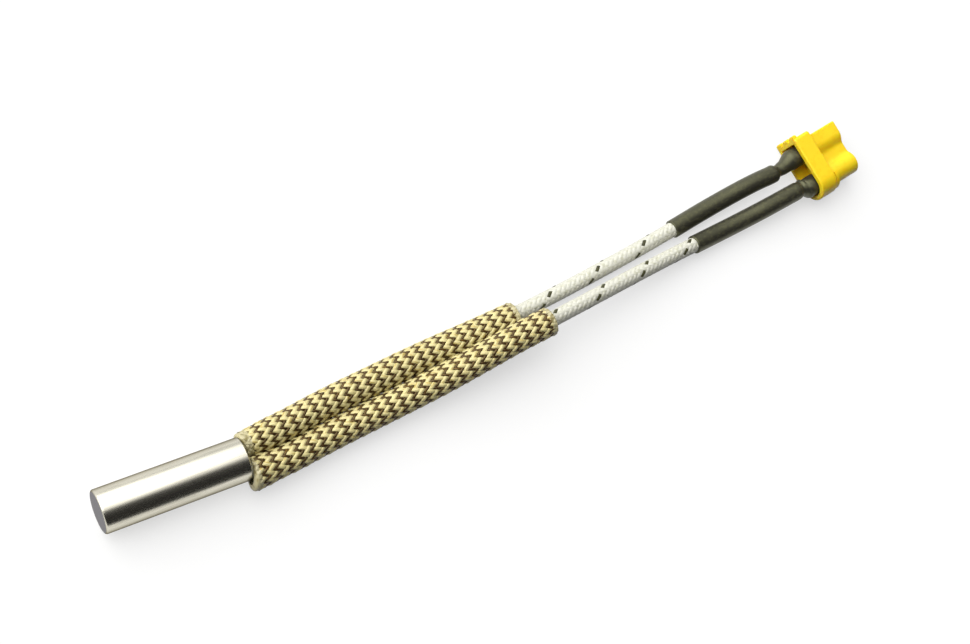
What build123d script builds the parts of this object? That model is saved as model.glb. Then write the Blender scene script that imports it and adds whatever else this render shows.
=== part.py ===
from build123d import *
import os
from math import cos, pi, radians, sin, tan

# Cartridge heater with two sleeved leads and a two-pole plug.
# Millimetres. The sheath lies along X on the surface z = 0, its closed end at -X. The origin is
# the middle of the sheath's underside. The leads run towards +X, lead a on the +Y side.

# Sheath and what is packed in it
SHEATH_LENGTH = 20.0
SHEATH_RADIUS = 3.0
SHEATH_WALL = 0.3
SHEATH_EDGE = 0.28
DISC_THICKNESS = 1.0
CORE_RADIUS = 1.85
CORE_START = -8.4
CORE_END = 3.4
COIL_START = -7.3
COIL_END = 2.5
COIL_TURNS = 12
COIL_SIDES = 12
COIL_WIRE = 0.25
COIL_SEAT = 0.01
FILL_BORE_RADIUS = 2.2
SEAL_END = 9.7

# Pins and crimp ferrules that join the winding to the leads
PIN_SPREAD = 1.2
PIN_RADIUS = 0.4
PIN_FRONT = 5.2
PEG_RADIUS = 0.12
FERRULE_START = 3.9
FERRULE_END = 6.4
FERRULE_RADIUS = 0.7
CRIMP_RADIUS = 0.62
CRIMP_WIDTH = 0.7

# Lead layers
CONDUCTOR_RADIUS = 0.5
INSULATION_RADIUS = 0.85
LEAD_RADIUS = 1.15
COVER_START = 6.45
ARC_SHARE = 0.45

# Lead routes: from the ferrule, out of the sheath and to the solder cup
ROUTE_A = [
    (5.2, 1.2, 3.0),
    (7.6, 1.2, 3.0),
    (11.6, 1.73, 3.0),
    (18.8, 2.78, 2.35),
    (30.0, 4.02, 1.9),
    (46.0, 5.2, 1.8),
    (58.5, 6.3, 1.72),
    (72.0, 8.13, 1.5),
    (83.0, 9.87, 1.43),
    (91.3, 11.42, 1.47),
    (99.9, 12.68, 2.6),
    (105.2, 13.0, 2.6),
    (109.97, 14.48, 2.6),
]
ROUTE_B = [
    (5.2, -1.2, 3.0),
    (7.6, -1.2, 3.0),
    (11.6, -1.82, 2.94),
    (18.6, -1.7, 2.45),
    (27.5, -0.75, 1.95),
    (35.5, 0.08, 2.35),
    (43.5, 1.15, 3.75),
    (51.5, 2.35, 4.9),
    (60.5, 3.53, 5.0),
    (70.0, 4.77, 4.1),
    (80.0, 6.1, 2.6),
    (90.0, 7.18, 1.5),
    (96.2, 7.86, 1.65),
    (101.6, 8.5, 2.6),
    (110.83, 9.85, 2.6),
]

# Routes of the loose sleeves, which start at the sheath's mouth; sleeve b climbs onto sleeve a
SLEEVE_ROUTE_A = [
    (10.3, 1.93, 2.98),
    (15.5, 2.33, 2.68),
    (22.5, 3.22, 2.17),
    (31.0, 4.06, 2.17),
    (40.0, 4.83, 2.17),
    (48.0, 5.27, 2.17),
    (54.6, 5.82, 2.17),
]
SLEEVE_ROUTE_B = [
    (10.2, -2.23, 2.93),
    (14.8, -2.17, 2.64),
    (21.5, -1.38, 2.19),
    (28.5, -0.66, 2.22),
    (34.5, -0.02, 2.55),
    (40.5, 0.74, 3.6),
    (46.5, 1.62, 4.6),
    (53.0, 2.6, 5.28),
    (58.0, 3.1, 5.33),
]

# Braid of the sleeves: 24 flat strands, each over two and under two
BRAID_COLUMNS = 12
FLOAT_PITCH = 0.92
BRAID_CREST = 2.12
BRAID_VALLEY = 1.99
BAND_RADIUS = 2.06
BAND_LENGTH = 1.0
BAND_STEP = 0.15
BORE_RADIUS = 1.81
BORE_STRIDE = 8
RIDGE_INSET = 0.3

# Heat-shrink tubes: start of the tube and end of the lead's cover, both as X along the route
SHRINK_RADIUS = 1.4
SHRINK_WALL = 0.25
SHRINK_START_A = 84.2
SHRINK_START_B = 86.4
COVER_END_A = 103.95
COVER_END_B = 106.6
NECK_RADIUS = 0.98
NECK_AT = 0.85
SHOULDER_STEPS = 4
FLARE_RADIUS = 1.14
CUP_COVER_RADIUS = 1.6
CUP_COVER_END = 0.8
CUP_ROLL = 0.12
CUP_CLEARANCE = 0.01

# Plug: rear face centre and heading; local +X points forwards, +Y is the square end
PLUG_REAR = (109.15, 11.78)
PLUG_YAW = 10.52
POLE_SPREAD = 2.5
COLLAR_HALF_WIDTH = 5.1
COLLAR_HALF_HEIGHT = 2.6
COLLAR_LENGTH = 3.15
NOSE_HALF_WIDTH = 4.35
NOSE_HALF_HEIGHT = 1.85
NOSE_LENGTH = 5.6
VALLEY_HALF_HEIGHT = 1.0
VALLEY_ROUND = 1.0
CORNER_ROUND = 0.5
EDGE_ROUND = 0.25
CAVITY_DEPTH = 2.4
SOCKET_SEAT_RADIUS = 1.25
MOUTH_CHAMFER = 0.15
LEDGE_RADIUS = 2.42
LEDGE_GROOVE_RADIUS = 2.2
LEDGE_GROOVE = 0.2
LEDGE_THICKNESS = 0.58
NUB_WIDTH = 1.15
NUB_HEIGHT = 0.45
NUB_LENGTH = 0.75
NUB_SPACING = 1.85
NUB_ROUND = 0.3

# Contacts, turned in one piece: solder cup behind, socket in front
CUP_REAR = -1.2
CUP_RADIUS = 1.3
CUP_BORE_RADIUS = 1.0
CUP_FLOOR = 1.6
SOCKET_FLOOR = 3.0
SOCKET_FRONT = 8.5
SOCKET_BORE_RADIUS = 1.0
SOLDER_REAR = -1.05
WIRE_DEPTH = 2.5

AXIS_HEIGHT = SHEATH_RADIUS
SHEATH_END = SHEATH_LENGTH / 2
SHEATH_BORE_RADIUS = SHEATH_RADIUS - SHEATH_WALL
PLUG_PLACE = Location((*PLUG_REAR, 0), (0, 0, PLUG_YAW))


def corner_radii(points):
    """Radius of the tangent arc at each corner: as large as the two runs beside it allow."""
    radii = []
    for before, corner, after in zip(points, points[1:], points[2:]):
        run_in = Vector(corner) - Vector(before)
        run_out = Vector(after) - Vector(corner)
        half_turn = radians(run_in.get_angle(run_out)) / 2
        radii.append(ARC_SHARE * min(run_in.length, run_out.length) / tan(half_turn))
    return radii


def centre_line(name, points):
    """Straight runs joined by tangent arcs."""
    radii = corner_radii(points)
    route = Wire(FilletPolyline(*points, radius=radii).edges())
    print(name, "length", round(route.length, 2), "radii", [round(radius, 1) for radius in radii])
    return route


def distance_to_x(route, x):
    """Distance along a route at which it reaches x."""
    low = 0.0
    high = route.length
    while high - low > 1e-4:
        middle = (low + high) / 2
        if route.position_at(middle, position_mode=PositionMode.LENGTH).X < x:
            low = middle
        else:
            high = middle
    return low


def stretch(route, start, end):
    """The part of a route between two distances along it."""
    return route.trim(start / route.length, end / route.length)


def square_plane(route, distance):
    """Plane square to a route at a distance along it."""
    centre = route.position_at(distance, position_mode=PositionMode.LENGTH)
    heading = route.tangent_at(distance, position_mode=PositionMode.LENGTH)
    return Plane(origin=centre, x_dir=Vector(0, 0, 1).cross(heading), z_dir=heading)


def tube(name, route, outer_radius, inner_radius=0.0):
    """Round tube or rod along a route, with its volume compared with section times length."""
    section = Circle(outer_radius)
    area = pi * (outer_radius**2 - inner_radius**2)
    if inner_radius:
        section = section - Circle(inner_radius)
    solid = sweep(square_plane(route, 0) * section, path=route).solid()
    print(name, "volume over section times length", round(solid.volume / (area * route.length), 4))
    return solid


def turned(profile, y=0.0, z=0.0):
    """Piece turned about an axis parallel to X, from (x, radius) points."""
    outline = make_face(Polyline(*[(x, radius, 0) for x, radius in profile], close=True))
    return Location((0, y, z)) * revolve(outline, axis=Axis.X)


def facet(*corners):
    """Flat three-cornered face."""
    return Face(Wire.make_polygon(corners, close=True))


def sheath():
    """Drawn tube with a rounded outer edge at both ends."""
    outer = turned(
        [(-SHEATH_END, 0), (-SHEATH_END, SHEATH_RADIUS), (SHEATH_END, SHEATH_RADIUS), (SHEATH_END, 0)],
        z=AXIS_HEIGHT,
    )
    rims = outer.edges().filter_by(GeomType.CIRCLE).group_by(Axis.X)
    outer = fillet(rims[0], SHEATH_EDGE)
    outer = fillet(outer.edges().filter_by(GeomType.CIRCLE).group_by(Axis.X)[-1], SHEATH_WALL / 3)
    bore = turned(
        [
            (-SHEATH_END - 1, 0),
            (-SHEATH_END - 1, SHEATH_BORE_RADIUS),
            (SHEATH_END + 1, SHEATH_BORE_RADIUS),
            (SHEATH_END + 1, 0),
        ],
        z=AXIS_HEIGHT,
    )
    return outer - bore


def end_disc():
    """Disc welded flush into the sheath's closed end."""
    inner_face = -SHEATH_END + DISC_THICKNESS
    return turned(
        [
            (-SHEATH_END, 0),
            (-SHEATH_END, SHEATH_BORE_RADIUS),
            (inner_face, SHEATH_BORE_RADIUS),
            (inner_face, 0),
        ],
        z=AXIS_HEIGHT,
    )


def magnesia_fill():
    """Packed powder round the winding, closed in front of the core."""
    front = -SHEATH_END + DISC_THICKNESS
    return turned(
        [
            (front, 0),
            (front, SHEATH_BORE_RADIUS),
            (CORE_END, SHEATH_BORE_RADIUS),
            (CORE_END, FILL_BORE_RADIUS),
            (CORE_START, FILL_BORE_RADIUS),
            (CORE_START, 0),
        ],
        z=AXIS_HEIGHT,
    )


def coil_inner_radius():
    """Corner radius of the winding whose flats rest just clear of the core."""
    return (CORE_RADIUS + COIL_SEAT) / cos(pi / COIL_SIDES)


def terminal_pin(side):
    """Pin in the core with a short peg out to its end of the winding."""
    peg_x = COIL_END if side > 0 else COIL_START
    pin_start = COIL_START - COIL_WIRE
    pin = turned(
        [(pin_start, 0), (pin_start, PIN_RADIUS), (PIN_FRONT, PIN_RADIUS), (PIN_FRONT, 0)],
        y=side * PIN_SPREAD,
        z=AXIS_HEIGHT,
    )
    peg_length = CORE_RADIUS + COIL_SEAT - PIN_SPREAD
    peg_base = Plane(origin=(peg_x, side * PIN_SPREAD, AXIS_HEIGHT), z_dir=(0, side, 0))
    return pin + extrude(peg_base * Circle(PEG_RADIUS), amount=peg_length)


def ceramic_core(pins):
    """Rod that carries the winding, with holes for both pins and their pegs."""
    rod = turned(
        [(CORE_START, 0), (CORE_START, CORE_RADIUS), (CORE_END, CORE_RADIUS), (CORE_END, 0)],
        z=AXIS_HEIGHT,
    )
    for pin in pins:
        rod = rod - pin
    return rod


def resistance_coil():
    """Square heating wire wound on the core, from pin b's peg to pin a's, half a turn over."""
    side_angle = 2 * pi / COIL_SIDES
    side_count = COIL_TURNS * COIL_SIDES + COIL_SIDES // 2
    advance = (COIL_END - COIL_START) / side_count
    inner = coil_inner_radius()
    radii = (inner, inner + COIL_WIRE)

    def corners(step):
        angle = pi + (step - 0.5) * side_angle
        middle = COIL_START + (step - 0.5) * advance
        inner_edge, outer_edge = [
            (radius * cos(angle), AXIS_HEIGHT + radius * sin(angle)) for radius in radii
        ]
        back = middle - COIL_WIRE / 2
        front = middle + COIL_WIRE / 2
        return [
            Vector(back, *inner_edge),
            Vector(front, *inner_edge),
            Vector(front, *outer_edge),
            Vector(back, *outer_edge),
        ]

    rings = [corners(step) for step in range(side_count + 2)]
    faces = []
    for ring, ahead in zip(rings, rings[1:]):
        for edge in range(4):
            beside = (edge + 1) % 4
            faces.append(facet(ring[edge], ring[beside], ahead[beside]))
            faces.append(facet(ring[edge], ahead[beside], ahead[edge]))
    for ring in (rings[0], rings[-1]):
        faces.append(facet(ring[0], ring[1], ring[2]))
        faces.append(facet(ring[0], ring[2], ring[3]))
    return Solid(Shell(faces))


def crimp_ferrule(side):
    """Ferrule crimped on the pin and on the conductor, with a rolled groove at each crimp."""
    crimps = []
    for centre in ((FERRULE_START + PIN_FRONT) / 2, (PIN_FRONT + FERRULE_END) / 2):
        crimps += [
            (centre - CRIMP_WIDTH / 2, FERRULE_RADIUS),
            (centre - CRIMP_WIDTH / 4, CRIMP_RADIUS),
            (centre + CRIMP_WIDTH / 4, CRIMP_RADIUS),
            (centre + CRIMP_WIDTH / 2, FERRULE_RADIUS),
        ]
    return turned(
        [
            (FERRULE_START, PIN_RADIUS),
            (FERRULE_START, FERRULE_RADIUS),
            *crimps,
            (FERRULE_END, FERRULE_RADIUS),
            (FERRULE_END, CONDUCTOR_RADIUS),
            (PIN_FRONT, CONDUCTOR_RADIUS),
            (PIN_FRONT, PIN_RADIUS),
        ],
        y=side * PIN_SPREAD,
        z=AXIS_HEIGHT,
    )


def end_seal(inserts):
    """Potting from the core to just inside the mouth, cast round the pins, ferrules and leads."""
    seal = turned(
        [(CORE_END, 0), (CORE_END, SHEATH_BORE_RADIUS), (SEAL_END, SHEATH_BORE_RADIUS), (SEAL_END, 0)],
        z=AXIS_HEIGHT,
    )
    for insert in inserts:
        seal = seal - insert
    return seal.solid()


def braided_sleeve(route):
    """Loose sleeve of tubular braid, as one closed shell of flat facets.

    Lengthwise columns of floats lean one way and the other in turn. A float is a raised
    parallelogram: its lower end on one column edge, its upper end one pitch further along the
    next, with two ridge points inside. Both cut ends are smooth bands.
    """
    half_pitch = FLOAT_PITCH / 2
    step_count = int((route.length - 2 * BAND_LENGTH) / half_pitch)
    weave_start = (route.length - step_count * half_pitch) / 2
    column_angle = 2 * pi / BRAID_COLUMNS
    frames = {}
    faces = []

    def skin(distance, column, radius):
        key = round(distance, 6)
        if key not in frames:
            frames[key] = square_plane(route, min(max(distance, 0.0), route.length))
        angle = (column - 0.25) * column_angle
        return frames[key].from_local_coords((radius * cos(angle), radius * sin(angle), 0))

    def edge_point(column, step):
        return skin(weave_start + step * half_pitch, column % BRAID_COLUMNS, BRAID_VALLEY)

    def strip(left, right):
        """Facets between two lines of points, stepping up whichever line is behind."""
        low = high = 0
        while low < len(left) - 1 or high < len(right) - 1:
            if high >= len(right) - 1 or (low < len(left) - 1 and low <= high):
                faces.append(facet(left[low], right[high], left[low + 1]))
                low += 1
            else:
                faces.append(facet(left[low], right[high], right[high + 1]))
                high += 1

    def braid_float(left, right, ridge_left, ridge_right):
        for a, b, c in (
            (left[0], ridge_left, left[1]),
            (left[1], ridge_left, left[2]),
            (right[1], ridge_right, right[0]),
            (right[2], ridge_right, right[1]),
            (left[0], right[0], ridge_left),
            (ridge_left, right[0], ridge_right),
            (right[2], left[2], ridge_right),
            (ridge_right, left[2], ridge_left),
        ):
            faces.append(facet(a, b, c))

    for column in range(BRAID_COLUMNS):
        lean = -2 if column % 2 == 0 else 2
        step = 3 if lean < 0 else 0
        left_line = [edge_point(column, step) for step in range(step_count + 1)]
        right_line = [edge_point(column + 1, step) for step in range(step_count + 1)]
        strip(left_line[: step + 1], right_line[: step + lean + 1])
        while step + 2 + max(lean, 0) <= step_count:
            ridges = []
            for across in (RIDGE_INSET, 1 - RIDGE_INSET):
                distance = weave_start + (step + 1 + lean * across) * half_pitch
                ridges.append(skin(distance, column + across, BRAID_CREST))
            braid_float(left_line[step : step + 3], right_line[step + lean : step + lean + 3], *ridges)
            step += 2
        strip(left_line[step:], right_line[step + lean :])

    bore_steps = [*range(0, step_count - BORE_STRIDE // 2, BORE_STRIDE), step_count]
    bore_stations = [0.0, *[weave_start + step * half_pitch for step in bore_steps], route.length]
    for column in range(BRAID_COLUMNS):
        beside = (column + 1) % BRAID_COLUMNS
        for mouth, inner, weave_step in (
            (0.0, weave_start - BAND_STEP, 0),
            (route.length, route.length - weave_start + BAND_STEP, step_count),
        ):
            strip(
                [skin(mouth, column, BORE_RADIUS), skin(mouth, column, BAND_RADIUS)]
                + [skin(inner, column, BAND_RADIUS), edge_point(column, weave_step)],
                [skin(mouth, beside, BORE_RADIUS), skin(mouth, beside, BAND_RADIUS)]
                + [skin(inner, beside, BAND_RADIUS), edge_point(beside, weave_step)],
            )
        strip(
            [skin(station, column, BORE_RADIUS) for station in bore_stations],
            [skin(station, beside, BORE_RADIUS) for station in bore_stations],
        )
    sleeve = Solid(Shell(faces))
    print("sleeve facets", len(faces), "volume", round(sleeve.volume, 2))
    return sleeve


def cup_plane(side, x):
    """Plane square to one contact, at a local distance forward of the plug's rear face."""
    pole = PLUG_PLACE * Location((x, side * POLE_SPREAD, COLLAR_HALF_HEIGHT), (0, 90, 0))
    heading = Plane(pole).z_dir
    return Plane(origin=pole.position, x_dir=Vector(0, 0, 1).cross(heading), z_dir=heading)


def heat_shrink(name, side, route, start, cover_end):
    """Heat-shrink tube on a lead, drawn in to a neck past the cover's end and flared onto the cup."""
    sleeve = tube(name, stretch(route, start, cover_end), SHRINK_RADIUS, SHRINK_RADIUS - SHRINK_WALL)
    outer = []
    for step in range(SHOULDER_STEPS + 1):
        share = step / SHOULDER_STEPS
        fall = (SHRINK_RADIUS - NECK_RADIUS) * (1 - cos(share * pi)) / 2
        outer.append(square_plane(route, cover_end + share * NECK_AT) * Circle(SHRINK_RADIUS - fall))
    flare = square_plane(route, (cover_end + NECK_AT + route.length - WIRE_DEPTH) / 2)
    inner = [
        square_plane(route, cover_end) * Circle(SHRINK_RADIUS - SHRINK_WALL),
        square_plane(route, cover_end + NECK_AT) * Circle(NECK_RADIUS - SHRINK_WALL),
        flare * Circle(FLARE_RADIUS - SHRINK_WALL),
        cup_plane(side, CUP_REAR - CUP_CLEARANCE) * Circle(CUP_RADIUS + CUP_CLEARANCE),
        cup_plane(side, CUP_COVER_END) * Circle(CUP_RADIUS + CUP_CLEARANCE),
    ]
    outer += [
        flare * Circle(FLARE_RADIUS),
        cup_plane(side, CUP_REAR - CUP_ROLL) * Circle(CUP_COVER_RADIUS - CUP_ROLL),
        cup_plane(side, CUP_REAR + 2 * CUP_ROLL) * Circle(CUP_COVER_RADIUS),
        cup_plane(side, CUP_COVER_END) * Circle(CUP_COVER_RADIUS),
    ]
    end = loft(outer, ruled=True) - loft(inner, ruled=True)
    return (sleeve + end).solid()


def lobed_outline(half_width, half_height, corner_round):
    """Plug outline: half-round at the -Y end and square with rounded corners at the +Y end."""
    outline = Pos(half_height / 2, 0) * Rectangle(2 * half_width - half_height, 2 * half_height)
    outline = fillet(outline.vertices().group_by(Axis.X)[-1], corner_round)
    return outline + Pos(half_height - half_width, 0) * Circle(half_height)


def nose_outline():
    """Nose section: a hump round each pole and a valley between them on both faces."""
    outline = lobed_outline(NOSE_HALF_WIDTH, NOSE_HALF_HEIGHT, CORNER_ROUND / 2)
    cut_height = NOSE_HALF_HEIGHT - VALLEY_HALF_HEIGHT
    for face in (1, -1):
        valley = Pos(0, face * (VALLEY_HALF_HEIGHT + cut_height / 2)) * Rectangle(2 * POLE_SPREAD, cut_height)
        for side in (1, -1):
            valley = valley - Pos(side * POLE_SPREAD, 0) * Circle(NOSE_HALF_HEIGHT)
        outline = outline - valley
    corners = outline.vertices().filter_by(
        lambda vertex: abs(abs(vertex.Y) - VALLEY_HALF_HEIGHT) < 0.01 and abs(vertex.X) < POLE_SPREAD
    )
    return fillet(corners, VALLEY_ROUND)


def connector_housing():
    """Moulded housing: collar round the solder cups, nose round the sockets, ledge and nubs."""

    def section(x):
        return Plane(origin=(x, 0, COLLAR_HALF_HEIGHT), x_dir=(0, 1, 0), z_dir=(1, 0, 0))

    collar = extrude(
        section(0) * lobed_outline(COLLAR_HALF_WIDTH, COLLAR_HALF_HEIGHT, CORNER_ROUND),
        amount=COLLAR_LENGTH,
    )
    ends = collar.edges().group_by(Axis.X)
    collar = fillet(ends[0] + ends[-1], EDGE_ROUND)
    nose_front = COLLAR_LENGTH + NOSE_LENGTH
    nose = extrude(section(COLLAR_LENGTH - EDGE_ROUND) * nose_outline(), amount=NOSE_LENGTH + EDGE_ROUND)
    nose = fillet(nose.edges().group_by(Axis.X)[-1], EDGE_ROUND)
    ledge_start = COLLAR_LENGTH + LEDGE_GROOVE
    half_disc = Pos(-POLE_SPREAD, 0) * (
        Circle(LEDGE_RADIUS) - Pos(LEDGE_RADIUS, 0) * Rectangle(2 * LEDGE_RADIUS, 2 * LEDGE_RADIUS)
    )
    groove_disc = Pos(-POLE_SPREAD, 0) * (
        Circle(LEDGE_GROOVE_RADIUS) - Pos(LEDGE_RADIUS, 0) * Rectangle(2 * LEDGE_RADIUS, 2 * LEDGE_RADIUS)
    )
    ledge = extrude(section(ledge_start) * half_disc, amount=LEDGE_THICKNESS)
    groove = extrude(section(COLLAR_LENGTH - EDGE_ROUND) * groove_disc, amount=LEDGE_GROOVE + 2 * EDGE_ROUND)
    housing = collar + nose + ledge + groove
    for place in (-1, 0, 1):
        nub = Pos(
            NUB_LENGTH / 2,
            COLLAR_HALF_WIDTH,
            COLLAR_HALF_HEIGHT + place * NUB_SPACING,
        ) * Box(NUB_LENGTH, 2 * NUB_HEIGHT, NUB_WIDTH)
        nub = fillet(nub.edges().group_by(Axis.Y)[-1], NUB_ROUND)
        housing = housing + nub
    cavity = extrude(
        section(0) * lobed_outline(NOSE_HALF_WIDTH, NOSE_HALF_HEIGHT, CORNER_ROUND / 2),
        amount=CAVITY_DEPTH,
    )
    housing = housing - cavity
    for side in (1, -1):
        bore = turned(
            [
                (CAVITY_DEPTH - EDGE_ROUND, 0),
                (CAVITY_DEPTH - EDGE_ROUND, SOCKET_SEAT_RADIUS),
                (nose_front - MOUTH_CHAMFER, SOCKET_SEAT_RADIUS),
                (nose_front + MOUTH_CHAMFER, SOCKET_SEAT_RADIUS + 2 * MOUTH_CHAMFER),
                (nose_front + MOUTH_CHAMFER, 0),
            ],
            y=side * POLE_SPREAD,
            z=COLLAR_HALF_HEIGHT,
        )
        housing = housing - bore
    return PLUG_PLACE * housing.solid()


def contact(side):
    """Turned contact: the cup's shoulder seats on the cavity floor, the socket fills the bore."""
    return PLUG_PLACE * turned(
        [
            (CUP_REAR, CUP_BORE_RADIUS),
            (CUP_REAR, CUP_RADIUS),
            (CAVITY_DEPTH, CUP_RADIUS),
            (CAVITY_DEPTH, SOCKET_SEAT_RADIUS),
            (SOCKET_FRONT, SOCKET_SEAT_RADIUS),
            (SOCKET_FRONT, SOCKET_BORE_RADIUS + MOUTH_CHAMFER),
            (SOCKET_FRONT - MOUTH_CHAMFER, SOCKET_BORE_RADIUS),
            (SOCKET_FLOOR, SOCKET_BORE_RADIUS),
            (SOCKET_FLOOR, 0),
            (CUP_FLOOR, 0),
            (CUP_FLOOR, CUP_BORE_RADIUS),
        ],
        y=side * POLE_SPREAD,
        z=COLLAR_HALF_HEIGHT,
    )


def solder(side, conductor):
    """Solder that fills a cup round its conductor."""
    plug = PLUG_PLACE * turned(
        [(SOLDER_REAR, 0), (SOLDER_REAR, CUP_BORE_RADIUS), (CUP_FLOOR, CUP_BORE_RADIUS), (CUP_FLOOR, 0)],
        y=side * POLE_SPREAD,
        z=COLLAR_HALF_HEIGHT,
    )
    return plug - conductor


nodes = {"sheath": sheath(), "end_disc": end_disc(), "magnesia_fill": magnesia_fill()}
nodes["resistance_coil"] = resistance_coil()
nodes["connector_housing"] = connector_housing()

seal_inserts = []
for letter, side, points, sleeve_points, shrink_x, cover_x in (
    ("a", 1, ROUTE_A, SLEEVE_ROUTE_A, SHRINK_START_A, COVER_END_A),
    ("b", -1, ROUTE_B, SLEEVE_ROUTE_B, SHRINK_START_B, COVER_END_B),
):
    lead_route = centre_line("lead_" + letter, points)
    cover_start = distance_to_x(lead_route, COVER_START)
    cover_end = distance_to_x(lead_route, cover_x)
    cover_route = stretch(lead_route, cover_start, cover_end)
    shrink_start = distance_to_x(lead_route, shrink_x)
    conductor = tube("conductor_" + letter, lead_route, CONDUCTOR_RADIUS)
    insulation = tube("insulation_" + letter, cover_route, INSULATION_RADIUS, CONDUCTOR_RADIUS)
    braid = tube("braid_" + letter, cover_route, LEAD_RADIUS, INSULATION_RADIUS)
    pin = terminal_pin(side)
    ferrule = crimp_ferrule(side)
    nodes["terminal_pin_" + letter] = pin
    nodes["crimp_ferrule_" + letter] = ferrule
    nodes["conductor_" + letter] = conductor
    nodes["lead_insulation_" + letter] = insulation
    nodes["lead_braid_" + letter] = braid
    nodes["sleeve_" + letter] = braided_sleeve(centre_line("sleeve_" + letter, sleeve_points))
    nodes["heat_shrink_" + letter] = heat_shrink(
        "heat_shrink_" + letter, side, lead_route, shrink_start, cover_end
    )
    nodes["contact_" + letter] = contact(side)
    nodes["solder_" + letter] = solder(side, conductor)
    seal_inserts += [pin, ferrule, conductor, insulation, braid]

nodes["ceramic_core"] = ceramic_core([nodes["terminal_pin_a"], nodes["terminal_pin_b"]])
nodes["end_seal"] = end_seal(seal_inserts)

for node_name, solid in nodes.items():
    export_step(solid, "parts/" + node_name + ".step")
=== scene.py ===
"""Looks of a small cartridge heater: steel sheath, two sleeved leads and a yellow two-pole plug.

Sizes are in millimetres. The routes of the leads and sleeves are in metres, as the frame is.
"""

import logging
import math
from dataclasses import dataclass, replace
from enum import Enum, IntEnum
from typing import Sequence

import bmesh
import bpy
from mathutils import Euler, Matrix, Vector


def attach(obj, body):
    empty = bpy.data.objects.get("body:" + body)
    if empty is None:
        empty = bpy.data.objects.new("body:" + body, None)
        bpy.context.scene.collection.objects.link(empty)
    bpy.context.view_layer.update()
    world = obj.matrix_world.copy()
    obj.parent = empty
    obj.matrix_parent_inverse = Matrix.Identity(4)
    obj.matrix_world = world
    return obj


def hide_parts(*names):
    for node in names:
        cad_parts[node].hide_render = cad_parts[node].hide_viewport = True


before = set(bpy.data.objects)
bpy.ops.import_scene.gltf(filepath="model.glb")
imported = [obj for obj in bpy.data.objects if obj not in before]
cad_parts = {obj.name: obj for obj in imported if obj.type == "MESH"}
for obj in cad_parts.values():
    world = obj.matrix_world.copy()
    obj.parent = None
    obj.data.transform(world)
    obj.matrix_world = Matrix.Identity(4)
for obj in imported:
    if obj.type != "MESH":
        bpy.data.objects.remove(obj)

log = logging.getLogger("heater")

MM = 0.001
TURN = 2 * math.pi
# Corners closer together than this, in mm, are one corner
WELD = 1e-4
# Edges sharper than this many degrees stay crisp
SHARP_ANGLE = 40.0
# Order of the splines, and points of their line between two control points
SPLINE_ORDER = 3
SPLINE_STEPS = 32
# Heights of a grain, from 0 to 1, between which nearly all of it lies
GRAIN_LOW = 0.3
GRAIN_HIGH = 0.7
# Octaves of finer grain within a grain
GRAIN_DETAIL = 3.0
# Heights at which a tint of no share starts and is full, and how far a whole share lowers them
TINT_START = 0.72
TINT_FULL = 0.82
TINT_DROP = 0.4
# Depth in mm that light reaches under a surface, and how much of it red, green and blue reach
SCATTER_DEPTH = 0.5
SCATTER_SHARES = (1.0, 0.45, 0.15)
# Numbers of a mix's sockets for colours, which share their names with its other sockets
MIX_SHARE = 0
MIX_FIRST = 6
MIX_LAST = 7
MIX_RESULT = 2
# The part's only body, on which every piece built here rides
BODY = "root"
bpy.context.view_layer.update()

# Control points of the smooth lines that the leads and the loose sleeves follow, in metres
LEAD_A_POINTS = [
    (0.0052, 0.0012, 0.0030),
    (0.0076, 0.0012, 0.0030),
    (0.0116, 0.00173, 0.0030),
    (0.0188, 0.00278, 0.00235),
    (0.0300, 0.00402, 0.0019),
    (0.0460, 0.0052, 0.0018),
    (0.0585, 0.0063, 0.00172),
    (0.0720, 0.00813, 0.0015),
    (0.0830, 0.00987, 0.00143),
    (0.0913, 0.01142, 0.00147),
    (0.0999, 0.01268, 0.0026),
    (0.1052, 0.0130, 0.0026),
    (0.10997, 0.01448, 0.0026),
]
LEAD_B_POINTS = [
    (0.0052, -0.0012, 0.0030),
    (0.0076, -0.0012, 0.0030),
    (0.0116, -0.00182, 0.00294),
    (0.0186, -0.0017, 0.00245),
    (0.0275, -0.00075, 0.00195),
    (0.0355, 0.00008, 0.00235),
    (0.0435, 0.00115, 0.00375),
    (0.0515, 0.00235, 0.0049),
    (0.0605, 0.00353, 0.0050),
    (0.0700, 0.00477, 0.0041),
    (0.0800, 0.0061, 0.0026),
    (0.0900, 0.00718, 0.0015),
    (0.0962, 0.00786, 0.00165),
    (0.1016, 0.0085, 0.0026),
    (0.11083, 0.00985, 0.0026),
]
SLEEVE_A_POINTS = [
    (0.0103, 0.00172, 0.00294),
    (0.0155, 0.00199, 0.00262),
    (0.0225, 0.00309, 0.00220),
    (0.0310, 0.00395, 0.00220),
    (0.0400, 0.00483, 0.00217),
    (0.0480, 0.00527, 0.00217),
    (0.0546, 0.00582, 0.00217),
]
SLEEVE_B_POINTS = [
    (0.0102, -0.00231, 0.00293),
    (0.0148, -0.00217, 0.00264),
    (0.0215, -0.00123, 0.00220),
    (0.0285, -0.0005, 0.00222),
    (0.0345, 0.0001, 0.00255),
    (0.0405, 0.00074, 0.0036),
    (0.0465, 0.00162, 0.0046),
    (0.0530, 0.0026, 0.00528),
    (0.0580, 0.0031, 0.00533),
]


def linear(colour: str) -> tuple[float, float, float, float]:
    """Turn an sRGB hex colour into linear red, green, blue and alpha.

    Args:
        colour: six hex digits.

    Returns:
        The colour as the shader sockets take it.
    """
    channels = []
    for start in (0, 2, 4):
        share = int(colour[start : start + 2], 16) / 255
        channels.append(share / 12.92 if share <= 0.04045 else ((share + 0.055) / 1.055) ** 2.4)
    return (*channels, 1.0)


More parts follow.
